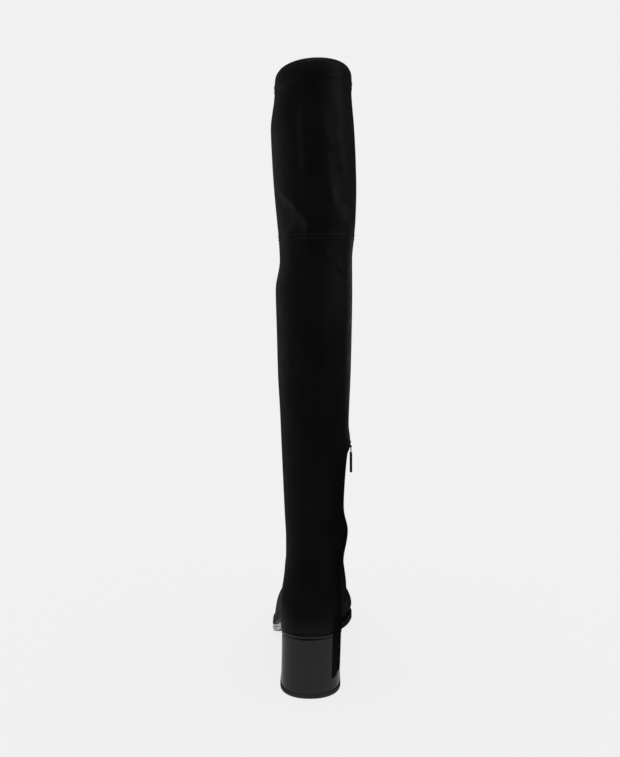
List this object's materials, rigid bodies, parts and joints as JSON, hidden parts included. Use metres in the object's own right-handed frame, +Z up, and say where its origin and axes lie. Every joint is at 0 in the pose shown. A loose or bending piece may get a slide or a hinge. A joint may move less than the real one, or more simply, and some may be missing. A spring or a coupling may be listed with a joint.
{
  "type": "thigh high boot",
  "caption": "Left-foot thigh high boot: hollow stretch leather upper with ankle zip, thin sole and tall glossy block heel.",
  "frame": {"origin": "middle of the boot's box, on the floor that it stands on", "axes": "+Y towards the toe, +X towards the inner side of the foot, +Z up towards the collar"},
  "size_m": [0.0956, 0.2504, 0.61],
  "materials": {
    "upper_leather": "soft satin stretch leather",
    "insole_board": "matte leather sock",
    "sole_edge": "polished black edge",
    "heel_gloss": "high gloss lacquer",
    "lift_rubber": "matte rubber",
    "zip_chain": "black coil zip",
    "zip_metal": "black painted metal"
  },
  "bodies": {
    "root": {"upper": "upper_leather", "insole": "insole_board", "midsole": "sole_edge", "outsole": "sole_edge", "heel_block": "heel_gloss", "top_lift": "lift_rubber", "zip_tape": "zip_chain", "zip_slider": "zip_metal"},
    "pull": {"zip_pull": "zip_metal"}
  },
  "joints": [
    {"name": "pull_swing", "type": "hinge", "parent": "root", "child": "pull", "pos_m": [0.04196, -0.05655, 0.24232], "axis": [0, -1, 0], "range_deg": [0, 160]}
  ]
}
